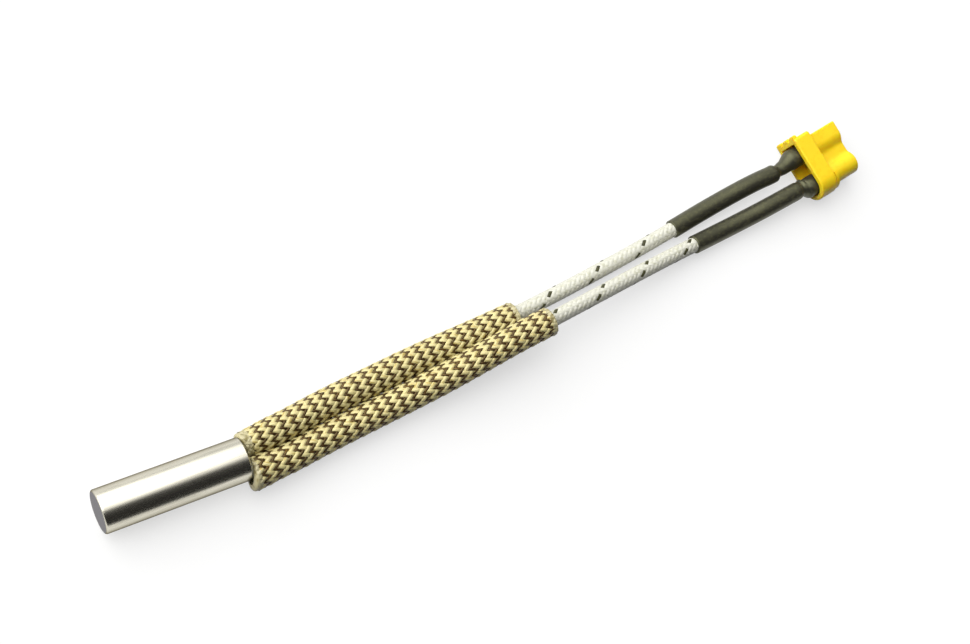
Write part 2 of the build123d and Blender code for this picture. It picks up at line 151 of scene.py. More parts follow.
def add_node(
    tree: bpy.types.NodeTree, kind: str, inputs: dict[str | int, object] | None = None, **settings: object
) -> bpy.types.Node:
    """Add one node with its settings, values and links.

    Args:
        tree: the node tree that takes the node.
        kind: the node's type name.
        inputs: value or linked output for each input, by the input's name or number.
        settings: properties of the node itself.

    Returns:
        The new node.
    """
    node = tree.nodes.new(kind)
    for name, value in settings.items():
        setattr(node, name, value)
    for name, value in (inputs or {}).items():
        if isinstance(value, bpy.types.NodeSocket):
            tree.links.new(value, node.inputs[name])
        else:
            node.inputs[name].default_value = value
    return node


def empty_tree(owner: bpy.types.ID) -> bpy.types.NodeTree:
    """Switch on the nodes of a material or a world, and return its emptied tree."""
    owner.use_nodes = True
    owner.node_tree.nodes.clear()
    return owner.node_tree


def mix_colours(
    tree: bpy.types.NodeTree, share: bpy.types.NodeSocket, first: str, last: str
) -> bpy.types.NodeSocket:
    """Mix two colours.

    Args:
        tree: the node tree that takes the mix.
        share: share of the last colour, from 0 to 1.
        first: sRGB hex colour where the share is 0.
        last: sRGB hex colour where the share is 1.

    Returns:
        The mixed colour.
    """
    ends = {MIX_SHARE: share, MIX_FIRST: linear(first), MIX_LAST: linear(last)}
    return add_node(tree, "ShaderNodeMix", ends, data_type="RGBA").outputs[MIX_RESULT]


def remap(
    tree: bpy.types.NodeTree,
    value: bpy.types.NodeSocket,
    start: float,
    end: float,
    first: float = 0.0,
    last: float = 1.0,
    interpolation: str = "LINEAR",
) -> bpy.types.NodeSocket:
    """Carry a value from one range over to another.

    Args:
        tree: the node tree that takes the step.
        value: the value.
        start: start of its range.
        end: end of its range.
        first: result at the start.
        last: result at the end.
        interpolation: how the result goes from the first to the last.

    Returns:
        The result.
    """
    ranges = {"Value": value, "From Min": start, "From Max": end, "To Min": first, "To Max": last}
    return add_node(tree, "ShaderNodeMapRange", ranges, interpolation_type=interpolation).outputs[0]


def calculate(
    tree: bpy.types.NodeTree, operation: str, first: object, second: object, **settings: object
) -> bpy.types.NodeSocket:
    """Add a sum on two values or linked outputs and return its result."""
    node = add_node(tree, "ShaderNodeMath", {0: first, 1: second}, operation=operation, **settings)
    return node.outputs[0]


class Pattern(Enum):
    """Coordinates that a finish's grain follows: those of the solid or those along a strand."""

    SOLID = "Object"
    SURFACE = "UV"


@dataclass(frozen=True)
class Finish:
    """A real material whose grain varies its colour, gloss and relief.

    Attributes:
        name: plain name of the material.
        colour: sRGB hex colour of most of the surface.
        tint: sRGB hex colour that the grain brings in.
        grain: size of the grain in mm, along each axis of the pattern.
        roughness: roughness of the smoothest and of the roughest places.
        relief: height of the grain in mm.
        metallic: 1 for a metal.
        tint_share: how much of the surface takes the tint, from 0 to 1.
        pattern: coordinates that the grain follows.
        scatter: share of light that passes under the surface.
        edge_tint: sRGB hex colour of its reflections at a glancing angle.
        sheen_level: strength of a plastic's or yarn's reflections, 0.5 for the usual.
    """

    name: str
    colour: str
    tint: str
    grain: tuple[float, float, float]
    roughness: tuple[float, float]
    relief: float
    metallic: float = 0.0
    tint_share: float = 0.5
    pattern: Pattern = Pattern.SOLID
    scatter: float = 0.0
    edge_tint: str = "FFFFFF"
    sheen_level: float = 0.5

    def build(self) -> bpy.types.Material:
        """Make the material and return it."""
        material = bpy.data.materials.new(self.name)
        tree = empty_tree(material)
        shader = add_node(
            tree,
            "ShaderNodeBsdfPrincipled",
            {
                "Metallic": self.metallic,
                "Subsurface Weight": self.scatter,
                "Subsurface Scale": SCATTER_DEPTH * MM,
                "Subsurface Radius": SCATTER_SHARES,
                "Specular IOR Level": self.sheen_level,
                "Specular Tint": linear(self.edge_tint),
            },
        )
        add_node(tree, "ShaderNodeOutputMaterial", {"Surface": shader.outputs[0]})
        grain = self.grain_texture(tree)
        drop = TINT_DROP * self.tint_share
        share = remap(tree, grain, TINT_START - drop, TINT_FULL - drop)
        colour = mix_colours(tree, share, self.colour, self.tint)
        roughness = remap(tree, grain, GRAIN_LOW, GRAIN_HIGH, *self.roughness)
        bump = add_node(tree, "ShaderNodeBump", {"Distance": self.relief * MM, "Height": grain})
        tree.links.new(colour, shader.inputs["Base Color"])
        tree.links.new(roughness, shader.inputs["Roughness"])
        tree.links.new(bump.outputs[0], shader.inputs["Normal"])
        return material

    def grain_texture(self, tree: bpy.types.NodeTree) -> bpy.types.NodeSocket:
        """Lay the grain over the piece and return its height from 0 to 1."""
        places = add_node(tree, "ShaderNodeTexCoord")
        scale = tuple(1 / (size * MM) for size in self.grain)
        stretched = add_node(
            tree, "ShaderNodeMapping", {"Vector": places.outputs[self.pattern.value], "Scale": scale}
        )
        noise = add_node(
            tree,
            "ShaderNodeTexNoise",
            {"Vector": stretched.outputs[0], "Scale": 1.0, "Detail": GRAIN_DETAIL},
        )
        return noise.outputs[0]


# Drawn and polished stainless tube: soft long reflections with faint lines along the tube; its dark warm
# glancing tint is painted shade that darkens the reflections at both edges
DRAWN_STAINLESS = Finish(
    "drawn_stainless", "DEDACA", "D2CEBE", (6.0, 0.25, 0.25), (0.25, 0.29), 0.0005, 1.0, edge_tint="5A5242"
)
# Faced stainless end: a little rougher than the tube, with a fine even grain; its darker colour and bluish
# glancing tint are painted shade, for the dark reflection that the end face shows
FACED_STAINLESS_PAINTED_SHADE = Finish(
    "faced_stainless_painted_shade", "A2A09C", "908E8A", (0.3, 0.1, 0.1), (0.3, 0.38), 0.002, 1.0, edge_tint="B0B0B8"
)
# Cream glass yarn, wound in flat strands: fine fibres along each strand and a soft waxy glint
CREAM_YARN = Finish(
    "cream_glass_yarn",
    "D4C88E",
    "BCA65A",
    (1.6, 0.3, 0.3),
    (0.38, 0.5),
    0.02,
    tint_share=0.4,
    pattern=Pattern.SURFACE,
    edge_tint="FFF6DA",
    sheen_level=0.9,
)
# Brown glass yarn: nearly black in the gaps, olive where the light catches it
BROWN_YARN = Finish(
    "brown_glass_yarn",
    "3A2610",
    "62461A",
    (1.2, 0.3, 0.3),
    (0.34, 0.44),
    0.02,
    tint_share=0.4,
    pattern=Pattern.SURFACE,
    edge_tint="F4DCA4",
    sheen_level=0.9,
)
# Yarn ends set in varnish: beige, smooth and slightly glossy
SEALED_YARN = Finish(
    "varnished_yarn_end", "BFB68C", "968A58", (0.7, 0.7, 0.7), (0.4, 0.5), 0.03, sheen_level=0.8
)
# White glass braid with silicone varnish: bright, smooth and faintly warm
WHITE_YARN = Finish(
    "white_glass_yarn", "D3D2C4", "C6C5B0", (0.6, 0.4, 0.4), (0.42, 0.5), 0.012, sheen_level=0.9
)
# Tracer thread in the white braid: dull dark olive
TRACER_YARN = Finish("tracer_yarn", "424120", "2E2D1A", (0.4, 0.3, 0.3), (0.5, 0.6), 0.012)
# Shrunk polyolefin tube: satin black that looks olive grey under the light, slightly mottled
POLYOLEFIN = Finish(
    "shrunk_polyolefin",
    "2F2E28",
    "3F3E30",
    (0.6, 0.4, 0.4),
    (0.36, 0.5),
    0.014,
    edge_tint="F0F0B8",
    sheen_level=1.0,
)
# Moulded nylon: saturated yellow with soft gloss, light glows a little in thin edges
NYLON = Finish(
    "moulded_nylon", "FFD824", "FFD21A", (0.8, 0.8, 0.8), (0.34, 0.4), 0.001, scatter=0.4, sheen_level=0.35
)
# Gold plate on turned brass: warm and bright with faint turning lines
GOLD_PLATE = Finish("gold_plate", "E8C66A", "D6B255", (0.05, 0.6, 0.6), (0.16, 0.24), 0.0008, 1.0)
# Packed magnesia powder: chalky white, fully matt
MAGNESIA = Finish("packed_magnesia", "E9E7E1", "D5D2CA", (0.12, 0.12, 0.12), (0.85, 0.95), 0.02)
# Fired steatite: ivory, dense and matt
STEATITE = Finish("fired_steatite", "EFEAD9", "E2DCC8", (0.2, 0.2, 0.2), (0.55, 0.65), 0.006)
# Heating wire: drawn nickel chrome, grey with a straw tint from its first firing
HEATING_WIRE = Finish("nickel_chrome_wire", "9C958A", "857A66", (0.4, 0.1, 0.1), (0.3, 0.4), 0.002, 1.0)
# Nickel pins: drawn, bright and slightly warm
NICKEL = Finish("drawn_nickel", "BEB9AE", "AEA99D", (1.2, 0.08, 0.08), (0.25, 0.32), 0.0015, 1.0)
# Tin-plated crimp ferrules: soft silver sheen
TIN_PLATE = Finish("tin_plate", "C6C6C2", "B4B4B0", (0.3, 0.3, 0.3), (0.28, 0.36), 0.002, 1.0)
# Cast potting: pale buff, matt, with a few pores
POTTING = Finish("cast_potting", "D6CFB8", "C2BA9F", (0.25, 0.25, 0.25), (0.7, 0.8), 0.02, tint_share=0.3)
# Nickel-plated copper strands: silvery with a copper cast
PLATED_COPPER = Finish("plated_copper_strand", "C9BFB2", "BFA48C", (0.9, 0.1, 0.1), (0.28, 0.36), 0.01, 1.0)
# Lapped glass tape under the braid: off white, matt
LAPPED_GLASS = Finish("lapped_glass", "E9E6D8", "D9D4C2", (0.8, 0.2, 0.2), (0.6, 0.7), 0.01)
# Solder: bright grey with a frosted skin
SOLDER = Finish("lead_free_solder", "B9BABC", "A5A6A8", (0.25, 0.25, 0.25), (0.22, 0.36), 0.006, 1.0)


@dataclass(frozen=True)
class Station:
    """A place on a route: its middle and the three directions of the route there, in mm."""

    centre: Vector
    heading: Vector
    side: Vector
    up: Vector

    def around(self, radius: float, angle: float) -> Vector:
        """Return the point at a radius and an angle from the side towards up."""
        return self.centre + self.side * (radius * math.cos(angle)) + self.up * (radius * math.sin(angle))


class Route:
    """Smooth line that a lead or sleeve follows, read from its NURBS spline."""

    def __init__(self, name: str, points: Sequence[tuple[float, float, float]]) -> None:
        """Draw the spline and read its line.

        Args:
            name: name of the spline.
            points: control points in metres.
        """
        curve = bpy.data.curves.new(name, "CURVE")
        curve.dimensions = "3D"
        curve.resolution_u = SPLINE_STEPS
        spline = curve.splines.new("NURBS")
        spline.points.add(len(points) - 1)
        for control, point in zip(spline.points, points):
            control.co = (*point, 1.0)
        spline.order_u = SPLINE_ORDER
        spline.use_endpoint_u = True
        carrier = bpy.data.objects.new(name, curve)
        mesh = bpy.data.meshes.new_from_object(carrier)
        self.points = [vertex.co / MM for vertex in mesh.vertices]
        bpy.data.objects.remove(carrier)
        bpy.data.curves.remove(curve)
        bpy.data.meshes.remove(mesh)
        self.reaches = [0.0]
        for point, ahead in zip(self.points, self.points[1:]):
            self.reaches.append(self.reaches[-1] + (ahead - point).length)

    @property
    def length(self) -> float:
        """Length of the line in mm."""
        return self.reaches[-1]

    def distance_at(self, x: float) -> float:
        """Return the distance along the line at which it reaches x, in mm."""
        for index, (point, ahead) in enumerate(zip(self.points, self.points[1:])):
            if ahead.x >= x:
                return self.reaches[index] + (x - point.x) / (ahead.x - point.x) * (ahead - point).length
        return self.length

    def station(self, distance: float) -> Station:
        """Return the place at a distance along the line; it runs on straight past both ends."""
        step = self._step_at(distance)
        run = self.reaches[step + 1] - self.reaches[step]
        share = (distance - self.reaches[step]) / run
        centre = self.points[step].lerp(self.points[step + 1], share)
        near = self._heading(step)
        far = self._heading(step + 1)
        heading = near.lerp(far, min(max(share, 0.0), 1.0)).normalized()
        side = Vector((0, 0, 1)).cross(heading).normalized()
        return Station(centre, heading, side, heading.cross(side))

    def _heading(self, index: int) -> Vector:
        """Return the line's direction at one of its points."""
        before = self.points[max(index - 1, 0)]
        ahead = self.points[min(index + 1, len(self.points) - 1)]
        return (ahead - before).normalized()

    def _step_at(self, distance: float) -> int:
        """Return the number of the step that holds a distance."""
        low = 0
        high = len(self.reaches) - 1
        while high - low > 1:
            middle = (low + high) // 2
            if self.reaches[middle] <= distance:
                low = middle
            else:
                high = middle
        return low


def grid_place(vertex: bmesh.types.BMVert, rings: int) -> tuple[int, float]:
    """Return the number of the ring that one of a flat grid's corners is for, and its angle there."""
    return round((vertex.co.x + 1) / 2 * (rings - 1)), (vertex.co.y + 1) / 2 * TURN


def lay_tube(
    bm: bmesh.types.BMesh, stations: Sequence[Station], radii: Sequence[float], sides: int, finish: int = 0
) -> None:
    """Add a closed wall of rings: a section outline carried round a route.

    Args:
        bm: mesh that takes the wall.
        stations: place of each ring; the last ring is joined to the first.
        radii: radius of each ring.
        sides: corners of a ring.
        finish: number of the piece's finish.
    """
    rings = [*zip(stations, radii), (stations[0], radii[0])]
    made = bmesh.ops.create_grid(bm, x_segments=len(rings) - 1, y_segments=sides, size=1.0, calc_uvs=True)
    for vertex in made["verts"]:
        number, angle = grid_place(vertex, len(rings))
        station, radius = rings[number]
        vertex.co = station.around(radius, angle)
    for face in {face for vertex in made["verts"] for face in vertex.link_faces}:
        face.material_index = finish
    bmesh.ops.remove_doubles(bm, verts=made["verts"], dist=WELD)


def publish(
    bm: bmesh.types.BMesh, name: str, finishes: Sequence[bpy.types.Material]
) -> bpy.types.Object:
    """Turn a mesh in mm into a piece of the scene that rides on the part's body.

    Args:
        bm: the finished mesh, freed here.
        name: name of the piece.
        finishes: its materials in the order of the faces' numbers.

    Returns:
        The new object.
    """
    bmesh.ops.scale(bm, vec=(MM, MM, MM), verts=bm.verts)
    mesh = bpy.data.meshes.new(name)
    bm.to_mesh(mesh)
    bm.free()
    piece = bpy.data.objects.new(name, mesh)
    bpy.context.scene.collection.objects.link(piece)
    for finish in finishes:
        mesh.materials.append(finish)
    mesh.shade_smooth()
    mesh.set_sharp_from_angle(angle=math.radians(SHARP_ANGLE))
    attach(piece, BODY)
    log.info("%s: %d faces", name, len(mesh.polygons))
    return piece


def new_mesh() -> bmesh.types.BMesh:
    """Start an empty mesh that keeps a UV map."""
    bm = bmesh.new()
    bm.loops.layers.uv.verify()
    return bm


class LeadFinish(IntEnum):
    """Finishes of a lead, numbered as its faces are."""

    WHITE = 0
    TRACER = 1


class SleeveFinish(IntEnum):
    """Finishes of a sleeve, numbered as its faces are."""

    CREAM = 0
    BROWN = 1
    SEALED = 2


class SheathFinish(IntEnum):
    """Finishes of the sheath, numbered as its faces are."""

    DRAWN = 0
    FACED = 1


@dataclass(frozen=True)
class Yarn:
    """Flat strand: width and thickness in mm, and the number of its finish on the piece."""

    width: float
    thickness: float
    finish: int


@dataclass(frozen=True)
class Braid:
    """Tubular braid whose strands each go over two and under two.

    Attributes:
        strands: strands that wind each way.
        advance: distance along the axis from one crossing to the next.
        radius: middle radius of the wall.
        lift: how far a strand rises above and dips below that radius.
        left: yarns of the strands that wind one way, taken in turn.
        right: yarns of the strands that wind the other way, taken in turn.
        mouth_growth: how much wider the braid is where it starts.
        mouth_reach: distance from there over which it comes to its usual radius.
        corners: corners of a strand's section.
        samples: rings of a strand between two crossings.
    """

    strands: int
    advance: float
    radius: float
    lift: float
    left: tuple[Yarn, ...]
    right: tuple[Yarn, ...]
    mouth_growth: float = 0.0
    mouth_reach: float = 4.0
    corners: int = 8
    samples: int = 2

    def lay(
        self, bm: bmesh.types.BMesh, route: Route, start: float, end: float, phase: float, roll: float
    ) -> None:
        """Lay every strand of the braid along a route.

        Args:
            bm: mesh that takes the strands.
            route: line that the braid follows.
            start: distance along the route at which the braid starts.
            end: distance at which it ends.
            phase: distance by which the strands are slid along the route.
            roll: degrees by which the columns of floats are turned round it.
        """
        count = round((end - start) / self.advance * self.samples)
        distances = [start + (end - start) * index / count for index in range(count + 1)]
        stations = [route.station(distance) for distance in distances]
        radii = [self.radius + self.growth(distance) for distance in distances]
        wound = [(distance - phase) / self.advance for distance in distances]
        for number in range(self.strands):
            for hand, yarns in ((-1, self.left), (1, self.right)):
                crossings = [hand * (turns - 2 * number) for turns in wound]
                self._lay_strand(bm, stations, radii, crossings, hand, yarns[number % len(yarns)], roll)

    def growth(self, distance: float) -> float:
        """Return how much wider the braid is at a distance from its route's start."""
        share = max(1 - distance / self.mouth_reach, 0.0)
        return self.mouth_growth * share * share * (3 - 2 * share)

    def _lay_strand(
        self,
        bm: bmesh.types.BMesh,
        stations: Sequence[Station],
        radii: Sequence[float],
        crossings: Sequence[float],
        hand: int,
        yarn: Yarn,
        roll: float,
    ) -> None:
        """Lay one strand.

        Args:
            bm: mesh that takes the strand.
            stations: places along the route that it is laid by.
            radii: middle radius of the wall at each place.
            crossings: how many strands of the other hand it has crossed there.
            hand: -1 or 1 for the way it winds.
            yarn: what it is made of.
            roll: degrees by which it is turned round the route.
        """
        middles = []
        normals = []
        for station, wall_radius, crossing in zip(stations, radii, crossings):
            # A wave over two crossings and under two, with its tops and bottoms flattened
            rise = math.cos((crossing - 0.5) * math.pi / 2)
            radius = wall_radius - hand * self.lift * math.sin(rise * math.pi / 2)
            middle = station.around(radius, crossing * math.pi / self.strands + math.radians(roll))
            middles.append(middle)
            normals.append((middle - station.centre).normalized())
        rings = []
        for index, (middle, normal) in enumerate(zip(middles, normals)):
            along = middles[min(index + 1, len(middles) - 1)] - middles[max(index - 1, 0)]
            across = normal.cross(along).normalized()
            out = along.cross(across).normalized()
            rings.append((middle, across * (yarn.width / 2), out * (yarn.thickness / 2)))
        made = bmesh.ops.create_grid(bm, x_segments=len(rings) - 1, y_segments=self.corners, size=1.0)
        faces = {face for vertex in made["verts"] for face in vertex.link_faces}
        fibre = bm.loops.layers.uv.verify()
        half_length = (middles[-1] - middles[0]).length / 2
        for face in faces:
            face.material_index = yarn.finish
            for loop in face.loops:
                reach = (loop.vert.co.x + crossings[0]) * half_length
                loop[fibre].uv = (reach * MM, loop.vert.co.y * yarn.width * MM)
        for vertex in made["verts"]:
            number, angle = grid_place(vertex, len(rings))
            middle, across, out = rings[number]
            vertex.co = middle + across * math.cos(angle) + out * math.sin(angle)
        ends = {edge for face in faces for edge in face.edges if edge.is_boundary}
        bmesh.ops.remove_doubles(bm, verts=made["verts"], dist=WELD)
        bmesh.ops.holes_fill(bm, edges=[edge for edge in ends if edge.is_valid], sides=self.corners)


@dataclass(frozen=True)
class Sleeve:
    """Loose braided sleeve over one lead, cut and sealed at both ends.

    Attributes:
        letter: letter of its lead.
        points: control points of its route, in metres.
        advance: distance along it from one crossing of its strands to the next, in mm.
        phase: distance by which its strands are slid along it.
        roll: degrees by which its columns of floats are turned.
        mouth_growth: how much wider it is at the sheath.
        mouth_band: length of its sealed end at the sheath.
        mouth_shear: slope of its face at the sheath, which is cut askew.
        cream: its light strands.
        brown: its dark strands.
        strands: strands that wind each way.
        braid_radius: middle radius of its wall.
        lift: how far a strand rises above and dips below that radius.
        mouth_reach: distance over which its mouth comes to the usual radius.
        tail_band: length of its sealed end away from the sheath.
        band_radius: outer radius of a sealed end.
        bore_radius: inner radius of a sealed end.
        lip_radius: radius of the hole in a sealed end's face.
        lip_depth: length over which a sealed end rounds in to its face.
        lip_steps: steps of that rounding.
        band_sides: corners of a sealed end's rings.
    """

    letter: str
    points: tuple[tuple[float, float, float], ...]
    advance: float
    phase: float
    roll: float
    mouth_growth: float
    mouth_band: float
    mouth_shear: float
    cream: Yarn
    brown: Yarn
    strands: int = 22
    braid_radius: float = 1.88
    lift: float = 0.115
    mouth_reach: float = 4.5
    tail_band: float = 0.9
    band_radius: float = 2.03
    bore_radius: float = 1.7
    lip_radius: float = 1.3
    lip_depth: float = 0.3
    lip_steps: int = 6
    band_sides: int = 48

    def build(self, finishes: Sequence[bpy.types.Material]) -> bpy.types.Object:
        """Make the sleeve from its strands and its two sealed ends.

        Args:
            finishes: cream yarn, brown yarn and sealed ends.

        Returns:
            The sleeve's object.
        """
        route = Route("sleeve_route_" + self.letter, self.points)
        bm = new_mesh()
        yarns = (self.cream, self.brown)
        braid = Braid(
            strands=self.strands,
            advance=self.advance,
            radius=self.braid_radius,
            lift=self.lift,
            left=yarns,
            right=yarns,
            mouth_growth=self.mouth_growth,
            mouth_reach=self.mouth_reach,
        )
        braid.lay(bm, route, self.lip_depth, route.length - self.lip_depth, self.phase, self.roll)
        self._lay_end(bm, route, 0.0, self.mouth_band, braid.growth(0.0), self.mouth_shear)
        self._lay_end(bm, route, route.length, -self.tail_band)
        self._seal(bm, route)
        bmesh.ops.recalc_face_normals(bm, faces=bm.faces)
        piece = publish(bm, "braided_sleeve_" + self.letter, finishes)
        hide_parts("sleeve_" + self.letter)
        return piece

    def _seal(self, bm: bmesh.types.BMesh, route: Route) -> None:
        """Give the strands next to both ends the finish of yarn set in varnish."""
        for mouth, band in ((0.0, self.mouth_band), (route.length, -self.tail_band)):
            end = route.station(mouth)
            inwards = end.heading * math.copysign(1, band)
            for face in bm.faces:
                if (face.calc_center_median() - end.centre).dot(inwards) < abs(band):
                    face.material_index = SleeveFinish.SEALED

    def _lay_end(
        self,
        bm: bmesh.types.BMesh,
        route: Route,
        mouth: float,
        band: float,
        growth: float = 0.0,
        shear: float = 0.0,
    ) -> None:
        """Lay the sealed end that rounds in towards the lead.

        Args:
            bm: mesh that takes the end.
            route: line that the sleeve follows.
            mouth: distance along the route of the end's face.
            band: length of the end along the route, below 0 where it lies behind its face.
            growth: how much wider the sleeve is there.
            shear: slope of its face, which is cut askew.
        """
        outer = self.band_radius + growth
        bore = self.bore_radius + growth
        length = abs(band)
        outline = []
        for step in range(self.lip_steps + 1):
            angle = step / self.lip_steps * math.pi / 2
            radius = self.lip_radius + (outer - self.lip_radius) * math.sin(angle)
            outline.append((self.lip_depth * (1 - math.cos(angle)), radius))
        outline += [
            (length, outer),
            (length + self.lip_depth / 2, (outer + bore) / 2),
            (length, bore),
            (self.lip_depth, bore),
        ]
        stations = []
        for along, _ in outline:
            station = route.station(mouth + math.copysign(along, band))
            slope = shear * max(1 - along / length, 0.0)
            stations.append(replace(station, side=station.side + station.heading * slope))
        radii = [radius for _, radius in outline]
        lay_tube(bm, stations, radii, self.band_sides, finish=SleeveFinish.SEALED)


# A lead's braid winds this many strands each way, all flat and white but for one rounder tracer
LEAD_STRANDS = 10
WHITE_STRAND = Yarn(0.58, 0.15, LeadFinish.WHITE)
TRACER_STRAND = Yarn(0.5, 0.18, LeadFinish.TRACER)


@dataclass(frozen=True)
class Lead:
    """White braided lead with one tracer thread, from inside the sheath to behind the solder cup.

    Attributes:
        letter: its letter.
        points: control points of its route, in metres.
        cover_end: x in mm at which its braid ends, inside the heat-shrink tube.
        tracer_phase: distance by which its strands are slid along it.
        tracer_roll: degrees by which its strands are turned round it.
        cover_start: x at which its braid starts, inside the sheath.
        seal_face: x at which it leaves the potting.
        diameter: its outer diameter.
        path_density: points of its path on each mm; not used.
        braid: its braid.
    """

    letter: str
    points: tuple[tuple[float, float, float], ...]
    cover_end: float
    tracer_phase: float
    tracer_roll: float
    cover_start: float = 6.45
    seal_face: float = 9.7
    diameter: float = 2.3
    path_density: int = 2
    braid: Braid = Braid(
        strands=LEAD_STRANDS,
        advance=0.4465,
        radius=1.02,
        lift=0.055,
        left=(TRACER_STRAND, *[WHITE_STRAND] * (LEAD_STRANDS - 1)),
        right=(WHITE_STRAND,),
    )

    def build(self, route: Route, finishes: Sequence[bpy.types.Material]) -> bpy.types.Object:
        """Make the lead's braid.

        Args:
            route: line that the lead follows.
            finishes: white yarn and tracer yarn.

        Returns:
            The lead's object.
        """
        bm = new_mesh()
        start = route.distance_at(self.cover_start)
        end = route.distance_at(self.cover_end)
        self.braid.lay(bm, route, start, end, self.tracer_phase, self.tracer_roll)
        bmesh.ops.recalc_face_normals(bm, faces=bm.faces)
        piece = publish(bm, "lead_" + self.letter, finishes)
        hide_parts("lead_braid_" + self.letter)
        return piece

    def declare(self, piece: bpy.types.Object, route: Route, carried: Sequence[bpy.types.Object]) -> None:
        """Take the lead and the pieces on it, which end in the plug, and do nothing with them.

        Args:
            piece: the lead's object; not used.
            route: line that the lead follows; not used.
            carried: the separate pieces on it; not used.
        """


@dataclass(frozen=True)
class HeatShrink:
    """Heat-shrink tube from the lead's braid, over a shoulder and a neck, onto the solder cup.

    Attributes:
        letter: letter of its lead.
        start: x in mm at which it starts on the lead.
        pole: 1 for lead a's cup and -1 for lead b's.
        neck_radius: outer radius of its neck, just past the lead's braid.
        flare_radius: outer radius halfway from the neck to the cup.
        radius: outer radius over the braid.
        wall: thickness of its wall.
        neck_at: distance from the braid's end to the neck.
        wire_depth: how deep the wire reaches into the cup.
        cup_rear: where it meets the cup's rear, in front of the housing's rear face.
        cup_radius: outer radius over the cup.
        cup_roll: size of its rounded shoulder on the cup's rear.
        cup_end: where it ends, in front of the housing's rear face.
        sides: corners of its rings.
        spacing: distance between its rings along the braid.
        bends: steps of each change of its radius.
    """

    letter: str
    start: float
    pole: float
    neck_radius: float = 0.98
    flare_radius: float = 1.14
    radius: float = 1.4
    wall: float = 0.25
    neck_at: float = 0.85
    wire_depth: float = 2.5
    cup_rear: float = -1.2
    cup_radius: float = 1.6
    cup_roll: float = 0.12
    cup_end: float = 0.8
    sides: int = 48
    spacing: float = 0.5
    bends: int = 6

    def build(
        self, lead: Lead, route: Route, plug: "Plug", finish: bpy.types.Material
    ) -> bpy.types.Object:
        """Make the tube along the lead and over the cup.

        Args:
            lead: the lead, whose braid it covers.
            route: line that the lead follows.
            plug: the plug, which gives the cup's axis.
            finish: the tube's material.

        Returns:
            The tube's object.
        """
        begin = route.distance_at(self.start)
        cover_end = route.distance_at(lead.cover_end)
        neck = cover_end + self.neck_at
        flare = (neck + route.length - self.wire_depth) / 2
        lip = self.wall / 2
        count = round((cover_end - begin) / self.spacing)
        outline = [(route.station(begin), self.radius - lip)]
        for index in range(count):
            distance = begin + lip + (cover_end - begin - lip) * index / count
            outline.append((route.station(distance), self.radius))
        outline += self._eased(route, cover_end, neck, self.radius, self.neck_radius)
        outline += self._eased(route, neck, flare, self.neck_radius, self.flare_radius)[1:]
        outline += [
            (plug.pole_station(self.pole, self.cup_rear - self.cup_roll), self.cup_radius - self.cup_roll),
            (plug.pole_station(self.pole, self.cup_rear), self.cup_radius - self.cup_roll / 2),
            (plug.pole_station(self.pole, self.cup_rear + 2 * self.cup_roll), self.cup_radius),
            (plug.pole_station(self.pole, self.cup_end), self.cup_radius),
        ]
        back = [(station, radius - self.wall) for station, radius in reversed(outline[1:])]
        stations, radii = zip(*outline, *back, (route.station(begin), self.radius - self.wall))
        bm = new_mesh()
        lay_tube(bm, stations, radii, self.sides)
        bmesh.ops.recalc_face_normals(bm, faces=bm.faces)
        piece = publish(bm, "heat_shrink_tube_" + self.letter, [finish])
        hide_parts("heat_shrink_" + self.letter)
        return piece

    def _eased(
        self, route: Route, start: float, end: float, first: float, last: float
    ) -> list[tuple[Station, float]]:
        """Return rings between two distances whose radius eases from the first to the last."""
        rings = []
        for step in range(self.bends + 1):
            share = step / self.bends
            radius = first + (last - first) * (1 - math.cos(share * math.pi)) / 2
            rings.append((route.station(start + (end - start) * share), radius))
        return rings


@dataclass(frozen=True)
class Sheath:
    """Drawn tube closed at one end, with rounded outer edges.

    Attributes:
        length: its length in mm.
        radius: its outer radius.
        wall: thickness of the tube.
        end_wall: thickness of the closed end.
        end_edge: radius of the closed end's rounded edge.
        end_steps: steps of that edge.
        mouth_edge: size of the broken edge at its mouth.
        faced_depth: how far the facing runs onto the rounded edge.
        sides: corners of its section.
    """

    length: float = 20.0
    radius: float = 3.0
    wall: float = 0.3
    end_wall: float = 1.0
    end_edge: float = 0.3
    end_steps: int = 6
    mouth_edge: float = 0.1
    faced_depth: float = 0.01
    sides: int = 128

    def build(self, finishes: Sequence[bpy.types.Material]) -> bpy.types.Object:
        """Spin the sheath from its section.

        Args:
            finishes: drawn tube, and faced end whose darker steel is painted shade.

        Returns:
            The sheath's object.
        """
        end = -self.length / 2
        mouth = self.length / 2
        bore = self.radius - self.wall
        outline = [(end, 0.0), (end, self.radius / 3), (end, self.radius * 2 / 3)]
        for step in range(self.end_steps + 1):
            angle = step / self.end_steps * math.pi / 2
            along = end + self.end_edge * (1 - math.cos(angle))
            outline.append((along, self.radius - self.end_edge * (1 - math.sin(angle))))
        outline += [
            (mouth - self.mouth_edge, self.radius),
            (mouth, self.radius - self.mouth_edge),
            (mouth, bore),
            (end + self.end_wall, bore),
            (end + self.end_wall, 0.0),
        ]
        bm = new_mesh()
        corners = [bm.verts.new((x, radius, self.radius)) for x, radius in outline]
        edges = [bm.edges.new(pair) for pair in zip(corners, corners[1:])]
        bmesh.ops.spin(
            bm,
            geom=corners + edges,
            cent=(0, 0, self.radius),
            axis=(1, 0, 0),
            dvec=(0, 0, 0),
            angle=TURN,
            steps=self.sides,
            use_merge=True,
        )
        bmesh.ops.remove_doubles(bm, verts=bm.verts, dist=WELD)
        bmesh.ops.recalc_face_normals(bm, faces=bm.faces)
        # The flat end takes the faced steel, whose darker colour is painted shade
        for face in bm.faces:
            faced = face.calc_center_median().x < end + self.faced_depth
            face.material_index = SheathFinish.FACED if faced else SheathFinish.DRAWN
        piece = publish(bm, "sheath_tube", finishes)
        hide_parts("sheath", "end_disc")
        return piece


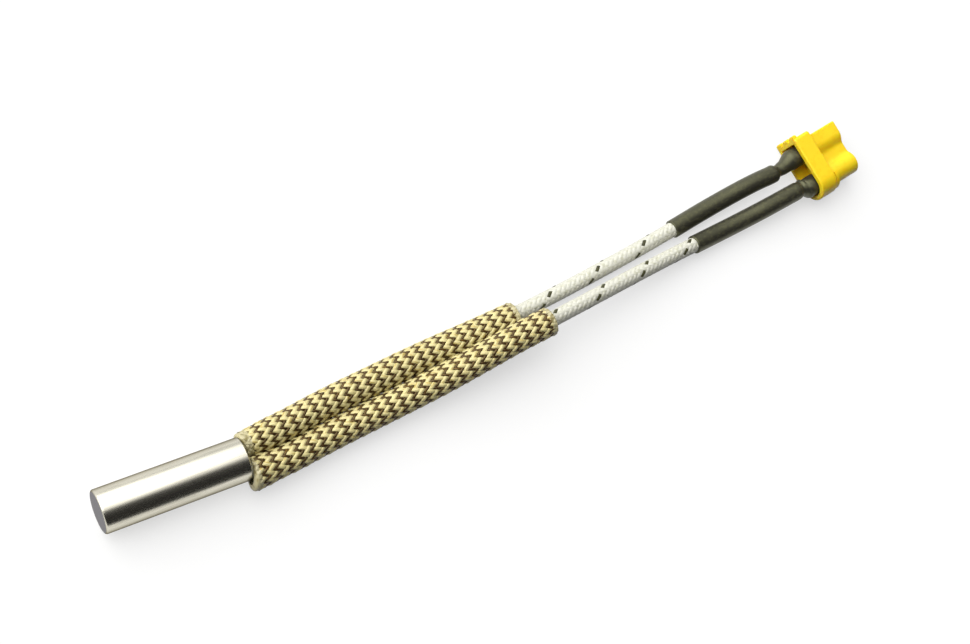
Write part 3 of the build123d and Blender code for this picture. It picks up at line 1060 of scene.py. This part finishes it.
@dataclass(frozen=True)
class Plug:
    """Place of the two-pole plug, from which the axes of its two contacts follow.

    Attributes:
        rear: x and y in mm of the middle of the housing's rear face.
        yaw: degrees from +X towards +Y by which it points.
        pole_spread: distance from its middle to each contact's axis.
        axis_height: height of both axes.
    """

    rear: tuple[float, float] = (109.15, 11.78)
    yaw: float = 10.52
    pole_spread: float = 2.5
    axis_height: float = 2.6

    def pole_station(self, pole: float, along: float) -> Station:
        """Return a place on one contact's axis.

        Args:
            pole: 1 for lead a's contact and -1 for lead b's.
            along: distance in front of the housing's rear face.

        Returns:
            The place.
        """
        yaw = math.radians(self.yaw)
        heading = Vector((math.cos(yaw), math.sin(yaw), 0))
        side = Vector((-math.sin(yaw), math.cos(yaw), 0))
        middle = Vector((*self.rear, self.axis_height)) + heading * along + side * (pole * self.pole_spread)
        return Station(middle, heading, side, Vector((0, 0, 1)))


def dress(node: str, finish: bpy.types.Material) -> bpy.types.Object:
    """Give a node of the frame its material and return its object."""
    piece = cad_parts[node]
    for material_slot in piece.material_slots:
        material_slot.material = finish
    return piece


@dataclass(frozen=True)
class Studio:
    """Camera at the photograph's place, pale floor and one broad soft light from above and +Y.

    Attributes:
        camera_place: the camera's place in mm.
        camera_turn: its rotation in radians.
        lens: focal length in mm.
        sensor_width: width in mm of the sensor behind it.
        nearest: distance in mm from which the camera sees.
        light_lean: degrees from straight up towards +Y of the soft light's middle.
        light_core: degrees from its middle to where it starts to fade.
        light_spread: degrees from its middle to its edge.
        light_start: x of a direction at which the light starts to fade, from -1 to 1.
        light_end: x of a direction at which it ends.
        light_level: brightness of the light.
        dark_level: brightness of the room round it.
        floor_size: half the floor's side in mm.
        floor_colour: sRGB hex colour of the floor to the eye.
        floor_bounce: sRGB hex colour of the light that it throws back on the object.
        floor_glow: share of the floor that is plain white to the eye and in reflections.
    """

    camera_place: tuple[float, float, float] = (-49.4307, -15.2382, 224.5489)
    camera_turn: tuple[float, float, float] = (0.244231905, -0.355854535, -0.406598599)
    lens: float = 64.339
    sensor_width: float = 36.0
    nearest: float = 5.0
    light_lean: float = 40.0
    light_core: float = 8.0
    light_spread: float = 57.0
    light_start: float = -0.3
    light_end: float = 0.8
    light_level: float = 3.6
    dark_level: float = 0.02
    floor_size: float = 4000.0
    floor_colour: str = "FCFCFB"
    floor_bounce: str = "28282A"
    floor_glow: float = 0.6

    def set_camera(self) -> None:
        """Put the camera where the photograph was taken from."""
        data = bpy.data.cameras.new("camera")
        data.lens = self.lens
        data.sensor_width = self.sensor_width
        data.clip_start = self.nearest * MM
        camera = bpy.data.objects.new("camera", data)
        camera.location = Vector(self.camera_place) * MM
        camera.rotation_euler = Euler(self.camera_turn, "XYZ")
        bpy.context.scene.collection.objects.link(camera)
        bpy.context.scene.camera = camera

    def set_floor(self) -> None:
        """Lay the pale floor, which keeps the object's shadow."""
        bm = bmesh.new()
        bmesh.ops.create_grid(bm, x_segments=1, y_segments=1, size=self.floor_size * MM)
        mesh = bpy.data.meshes.new("floor")
        bm.to_mesh(mesh)
        bm.free()
        floor = bpy.data.objects.new("floor", mesh)
        bpy.context.scene.collection.objects.link(floor)
        # Matt pale paper: white to the eye and in gloss, but dull in the light that it gives back
        material = bpy.data.materials.new("pale_paper")
        tree = empty_tree(material)
        rays = add_node(tree, "ShaderNodeLightPath")
        seen = calculate(tree, "ADD", rays.outputs["Is Camera Ray"], rays.outputs["Is Glossy Ray"])
        shown = calculate(tree, "MAXIMUM", seen, rays.outputs["Is Transmission Ray"])
        colour = mix_colours(tree, shown, self.floor_bounce, self.floor_colour)
        paper = add_node(tree, "ShaderNodeBsdfDiffuse", {"Color": colour})
        white = add_node(tree, "ShaderNodeEmission", {"Color": linear("FFFFFF"), "Strength": 1.0})
        share = calculate(tree, "MULTIPLY", shown, self.floor_glow, use_clamp=True)
        mix = add_node(tree, "ShaderNodeMixShader", {0: share, 1: paper.outputs[0], 2: white.outputs[0]})
        add_node(tree, "ShaderNodeOutputMaterial", {"Surface": mix.outputs[0]})
        mesh.materials.append(material)

    def set_light(self) -> None:
        """Light the room: bright overhead and towards +Y, dim on the other side."""
        world = bpy.data.worlds.new("room")
        bpy.context.scene.world = world
        tree = empty_tree(world)
        lean = math.radians(self.light_lean)
        outlook = add_node(tree, "ShaderNodeTexCoord").outputs["Generated"]
        across = add_node(
            tree, "ShaderNodeVectorMath", {0: outlook, 1: (0.0, 1.0, 1.0)}, operation="MULTIPLY"
        )
        level = add_node(tree, "ShaderNodeVectorMath", {0: across.outputs[0]}, operation="NORMALIZE")
        nearness = add_node(
            tree,
            "ShaderNodeVectorMath",
            {0: level.outputs[0], 1: (0.0, math.sin(lean), math.cos(lean))},
            operation="DOT_PRODUCT",
        )
        strength = remap(
            tree,
            nearness.outputs["Value"],
            math.cos(math.radians(self.light_spread)),
            math.cos(math.radians(self.light_core)),
            last=self.light_level,
            interpolation="SMOOTHSTEP",
        )
        axes = add_node(tree, "ShaderNodeSeparateXYZ", {0: outlook})
        fade = remap(
            tree,
            axes.outputs["X"],
            self.light_start,
            self.light_end,
            first=1.0,
            last=0.0,
            interpolation="SMOOTHSTEP",
        )
        light = calculate(tree, "MULTIPLY", strength, fade)
        total = calculate(tree, "ADD", light, self.dark_level)
        glow = add_node(tree, "ShaderNodeBackground", {"Color": linear("FFFFFF"), "Strength": total})
        add_node(tree, "ShaderNodeOutputWorld", {"Surface": glow.outputs[0]})
        bpy.context.scene.view_settings.view_transform = "Standard"


def build_leads() -> None:
    """Build both leads with their sleeves and tubes, and dress the plug and all that they end in."""
    plug = Plug()
    cream, brown, sealed = CREAM_YARN.build(), BROWN_YARN.build(), SEALED_YARN.build()
    white, tracer, polyolefin = WHITE_YARN.build(), TRACER_YARN.build(), POLYOLEFIN.build()
    gold, solder = GOLD_PLATE.build(), SOLDER.build()
    copper, lapped = PLATED_COPPER.build(), LAPPED_GLASS.build()
    nickel, tin = NICKEL.build(), TIN_PLATE.build()
    housing = dress("connector_housing", NYLON.build())
    leads = (
        Lead("a", tuple(LEAD_A_POINTS), cover_end=103.95, tracer_phase=4.28, tracer_roll=-11.0),
        Lead("b", tuple(LEAD_B_POINTS), cover_end=106.6, tracer_phase=1.21, tracer_roll=32.0),
    )
    shrinks = (
        HeatShrink("a", start=84.2, pole=1),
        HeatShrink("b", start=86.4, pole=-1, neck_radius=1.24, flare_radius=1.42),
    )
    sleeves = (
        Sleeve(
            "a",
            tuple(SLEEVE_A_POINTS),
            advance=0.4275,
            phase=0.35,
            roll=13.0,
            mouth_growth=-0.3,
            mouth_band=1.15,
            mouth_shear=-0.17,
            cream=Yarn(0.58, 0.3, SleeveFinish.CREAM),
            brown=Yarn(0.34, 0.18, SleeveFinish.BROWN),
        ),
        Sleeve(
            "b",
            tuple(SLEEVE_B_POINTS),
            advance=0.4575,
            phase=0.85,
            roll=-6.0,
            mouth_growth=0.25,
            mouth_band=0.6,
            mouth_shear=0.28,
            cream=Yarn(0.56, 0.28, SleeveFinish.CREAM),
            brown=Yarn(0.36, 0.18, SleeveFinish.BROWN),
        ),
    )
    for lead, shrink, sleeve in zip(leads, shrinks, sleeves):
        letter = lead.letter
        route = Route("lead_route_" + letter, lead.points)
        lead_piece = lead.build(route, [white, tracer])
        shrink_piece = shrink.build(lead, route, plug, polyolefin)
        sleeve_piece = sleeve.build([cream, brown, sealed])
        inside = [
            dress("contact_" + letter, gold),
            dress("solder_" + letter, solder),
            dress("conductor_" + letter, copper),
            dress("lead_insulation_" + letter, lapped),
        ]
        lead.declare(lead_piece, route, [shrink_piece, sleeve_piece, housing, *inside])
        dress("terminal_pin_" + letter, nickel)
        dress("crimp_ferrule_" + letter, tin)


def main() -> None:
    """Build every piece and the studio round them."""
    logging.basicConfig(level=logging.INFO, format="%(message)s")
    studio = Studio()
    studio.set_camera()
    build_leads()
    Sheath().build([DRAWN_STAINLESS.build(), FACED_STAINLESS_PAINTED_SHADE.build()])
    dress("magnesia_fill", MAGNESIA.build())
    dress("ceramic_core", STEATITE.build())
    dress("resistance_coil", HEATING_WIRE.build())
    dress("end_seal", POTTING.build())
    studio.set_floor()
    studio.set_light()


if __name__ == "__main__":
    main()
